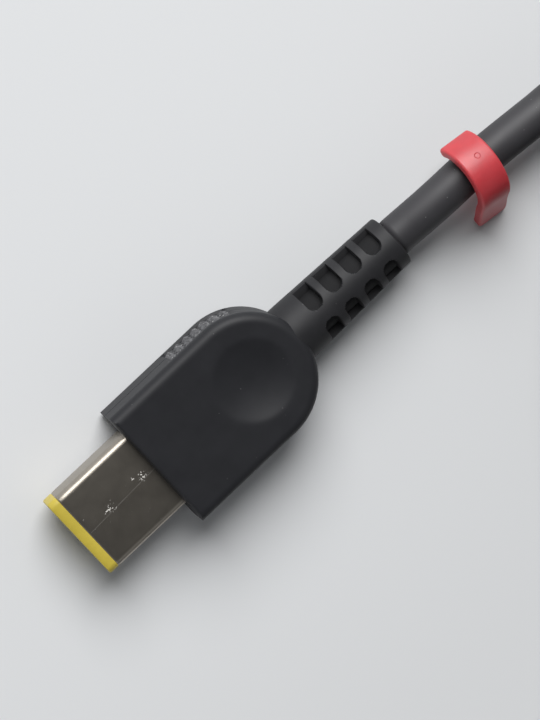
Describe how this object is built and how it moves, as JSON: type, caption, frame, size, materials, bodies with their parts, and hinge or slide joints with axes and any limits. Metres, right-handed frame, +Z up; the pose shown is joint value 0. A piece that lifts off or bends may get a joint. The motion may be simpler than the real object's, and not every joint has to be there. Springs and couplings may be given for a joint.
{
  "type": "laptop power adapter",
  "caption": "Laptop power adapter: rounded block with a three-pin mains inlet, and an output lead in a tied bundle ending in a slim rectangular plug.",
  "frame": {"origin": "middle of the block's underside, on the surface that it rests on", "axes": "+X along the block from the mains inlet to the output gland, +Z up; the plug lies on the +Y side"},
  "size_m": [0.17, 0.1131, 0.0295],
  "materials": {
    "case_plastic": "fine matt texture",
    "inlet_plastic": "smooth",
    "plated_pins": "nickel plated",
    "brown_wire": "soft insulation",
    "blue_wire": "soft insulation",
    "earth_wire": "soft insulation",
    "insulation_film": "thin film",
    "board_laminate": "solder mask",
    "fuse_body": "moulded",
    "blue_disc": "dipped resin",
    "green_disc": "dipped resin",
    "yellow_box": "moulded box",
    "ferrite": "sintered, matt",
    "copper_wire": "enamelled copper",
    "chip_resin": "moulded resin",
    "capacitor_sleeve": "shrink sleeve",
    "bobbin_plastic": "moulded",
    "winding_tape": "polyester tape",
    "sink_aluminium": "sheet",
    "pad_silicone": "silicone",
    "screw_steel": "zinc plated",
    "white_resin": "moulded",
    "small_ceramic": "fired",
    "led_lens": "clear",
    "clear_plastic": "clear, polished",
    "shield_copper": "copper sheet",
    "red_wire": "soft insulation",
    "black_wire": "soft insulation",
    "gland_rubber": "soft moulded, matt",
    "lead_jacket": "extruded, satin",
    "tie_fabric": "hook-and-loop tape",
    "grip_rubber": "soft moulded, matt",
    "contact_metal": "plated",
    "rim_plastic": "smooth moulded",
    "shell_metal": "nickel-plated sheet",
    "clip_plastic": "moulded"
  },
  "bodies": {
    "root": {"case_bottom": "case_plastic", "case_top": "case_plastic", "mains_inlet": "inlet_plastic", "inlet_pins": "plated_pins", "live_wire": "brown_wire", "neutral_wire": "blue_wire", "earth_wire": "earth_wire", "insulation_sheet": "insulation_film", "circuit_board": "board_laminate", "fuse": "fuse_body", "varistor": "blue_disc", "inrush_thermistor": "green_disc", "x_capacitor": "yellow_box", "noise_choke_core": "ferrite", "noise_choke_windings": "copper_wire", "bridge_rectifier": "chip_resin", "bulk_capacitor": "capacitor_sleeve", "transformer_core": "ferrite", "transformer_bobbin": "bobbin_plastic", "transformer_winding": "winding_tape", "primary_heat_sink": "sink_aluminium", "switching_transistor": "chip_resin", "insulator_pads": "pad_silicone", "sink_screws": "screw_steel", "y_capacitor": "blue_disc", "optocoupler": "white_resin", "controller_chip": "chip_resin", "surface_parts": "small_ceramic", "secondary_heat_sink": "sink_aluminium", "output_rectifier": "chip_resin", "output_capacitors": "capacitor_sleeve", "output_choke": "ferrite", "status_led": "led_lens", "light_pipe": "clear_plastic", "shield_plate": "shield_copper", "thermal_pad": "pad_silicone", "output_wires": "red_wire", "lead_gland": "gland_rubber", "lead_block_end": "lead_jacket", "lead_from_block": "lead_jacket", "lead_bundle": "lead_jacket", "bundle_ties": "tie_fabric", "lead_to_plug": "lead_jacket", "lead_plug_end": "lead_jacket", "plug_strain_relief": "grip_rubber", "plug_grip": "grip_rubber", "plug_premould": "white_resin", "plug_power_core": "red_wire", "plug_return_core": "black_wire", "plug_solder_tags": "contact_metal", "plug_coding_resistor": "blue_disc", "plug_rear_insulator": "rim_plastic", "plug_centre_pin": "contact_metal", "plug_inner_contact": "contact_metal", "plug_rim": "rim_plastic", "plug_shell": "shell_metal"},
    "clip": {"lead_clip": "clip_plastic"}
  },
  "joints": [
    {"name": "clip_slide", "type": "slide", "parent": "root", "child": "clip", "axis": [1, 0, 0], "range_m": [-0.003, 0.008]}
  ]
}
